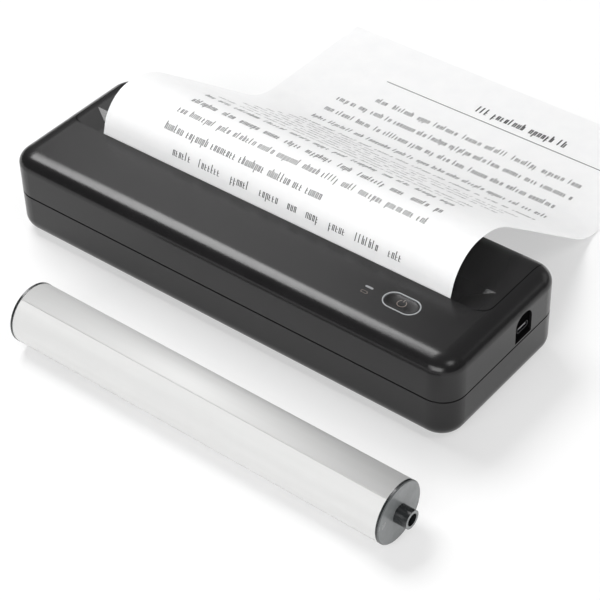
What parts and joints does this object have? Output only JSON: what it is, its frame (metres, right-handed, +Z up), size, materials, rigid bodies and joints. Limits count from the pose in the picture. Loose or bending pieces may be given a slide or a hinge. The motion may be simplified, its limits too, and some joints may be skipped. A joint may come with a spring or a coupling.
{
  "type": "a4 portable thermal printer",
  "caption": "Slim oblong A4 thermal printer with a hinged rear cover over the roll bay, a printed sheet rising from its slot over the cover, and a spare paper roll in front.",
  "frame": {"origin": "centre of the lower case's flat underside", "axes": "+X along the printer to the end with the charging port, +Y to the back where the cover hinges, +Z up"},
  "size_m": [0.2857, 0.3197, 0.0665],
  "materials": {
    "case_charcoal": "satin",
    "button_plastic": "satin",
    "ring_grey": "gloss",
    "black_plastic": "satin",
    "port_black": "dull",
    "tongue_grey": "satin",
    "plunger_plastic": "satin",
    "acetal_white": "satin",
    "brass": "satin",
    "steel": "brushed",
    "dark_nickel": "dark nickel",
    "screw_steel": "black zinc",
    "zinc_sheet": "zinc plated",
    "heat_sink_aluminium": "milled",
    "ceramic": "glazed",
    "platen_rubber": "matt",
    "foot_rubber": "matt",
    "thermal_paper": "smooth paper",
    "core_plastic": "satin",
    "flange_smoke": "smoky gloss",
    "circuit_board": "solder mask",
    "led_white": "clear",
    "light_guide": "frosted",
    "cell_wrap": "shrink wrap"
  },
  "bodies": {
    "case": {"lower_case": "case_charcoal", "upper_case": "case_charcoal", "hinge_pins": "steel", "gear_axles": "steel", "stepper_motor": "zinc_sheet", "left_side_plate": "zinc_sheet", "right_side_plate": "zinc_sheet", "spring_plate": "zinc_sheet", "head_rod": "steel", "head_springs": "steel", "tear_bar": "steel", "roll_tray": "black_plastic", "paper_web": "thermal_paper", "spare_roll_paper": "thermal_paper", "spare_roll_core": "core_plastic", "spare_roll_flanges": "flange_smoke", "main_board": "circuit_board", "board_screws": "screw_steel", "board_chips": "black_plastic", "head_connector": "black_plastic", "usb_shell": "dark_nickel", "usb_insert": "tongue_grey", "port_bezel": "port_black", "button_board": "circuit_board", "panel_screws": "screw_steel", "tact_switch": "black_plastic", "button_ring": "ring_grey", "status_led": "led_white", "light_guide": "light_guide", "battery_cells": "cell_wrap", "rubber_feet": "foot_rubber", "case_screws": "screw_steel"},
    "cover": {"rear_cover": "case_charcoal", "platen_bushings": "acetal_white"},
    "platen": {"platen_shaft": "steel", "shaft_clip": "steel", "platen_rubber": "platen_rubber", "platen_gear": "acetal_white"},
    "idler": {"idler_gear": "acetal_white"},
    "compound": {"compound_gear": "acetal_white"},
    "rotor": {"motor_shaft": "steel", "motor_pinion": "brass"},
    "roll": {"roll_paper": "thermal_paper", "roll_core": "core_plastic", "roll_flanges": "flange_smoke"},
    "button": {"power_button": "button_plastic", "switch_plunger": "plunger_plastic"},
    "head": {"heat_sink": "heat_sink_aluminium", "print_head": "ceramic"},
    "sheet": {"paper_sheet": "thermal_paper"}
  },
  "joints": [
    {"name": "cover_hinge", "type": "hinge", "parent": "case", "child": "cover", "pos_m": [0, 0.0415, 0.033], "axis": [-1, 0, 0], "range_deg": [0, 90]},
    {"name": "platen_spin", "type": "hinge", "parent": "cover", "child": "platen", "pos_m": [0, 0.00096, 0.0335], "axis": [1, 0, 0], "continuous": true},
    {"name": "idler_spin", "type": "hinge", "parent": "case", "child": "idler", "pos_m": [-0.1205, -0.00243, 0.01992], "axis": [1, 0, 0], "continuous": true},
    {"name": "compound_spin", "type": "hinge", "parent": "case", "child": "compound", "pos_m": [-0.122, -0.01433, 0.01839], "axis": [1, 0, 0], "continuous": true},
    {"name": "motor_spin", "type": "hinge", "parent": "case", "child": "rotor", "pos_m": [-0.12, -0.02521, 0.01332], "axis": [1, 0, 0], "continuous": true},
    {"name": "roll_spin", "type": "hinge", "parent": "case", "child": "roll", "pos_m": [0, 0.024, 0.019], "axis": [1, 0, 0], "continuous": true},
    {"name": "power_press", "type": "slide", "parent": "case", "child": "button", "axis": [0, 0, -1], "range_m": [0, 0.0004], "stiffness_N_per_m": 200},
    {"name": "head_pivot", "type": "hinge", "parent": "case", "child": "head", "pos_m": [0, -0.008, 0.0205], "axis": [1, 0, 0], "range_deg": [0, 1.2], "stiffness_Nm_per_rad": 0.6},
    {"name": "sheet_lift", "type": "hinge", "parent": "case", "child": "sheet", "pos_m": [0, -0.00477, 0.046], "axis": [1, 0, 0], "range_deg": [0, 60]}
  ],
  "couplings": [
    {"joint": "idler_spin", "follows": "platen_spin", "ratio": -0.75},
    {"joint": "compound_spin", "follows": "platen_spin", "ratio": 1.5},
    {"joint": "motor_spin", "follows": "platen_spin", "ratio": -4.5},
    {"joint": "roll_spin", "follows": "platen_spin", "ratio": 0.36},
    {"joint": "sheet_lift", "follows": "cover_hinge", "ratio": 0.66667}
  ]
}
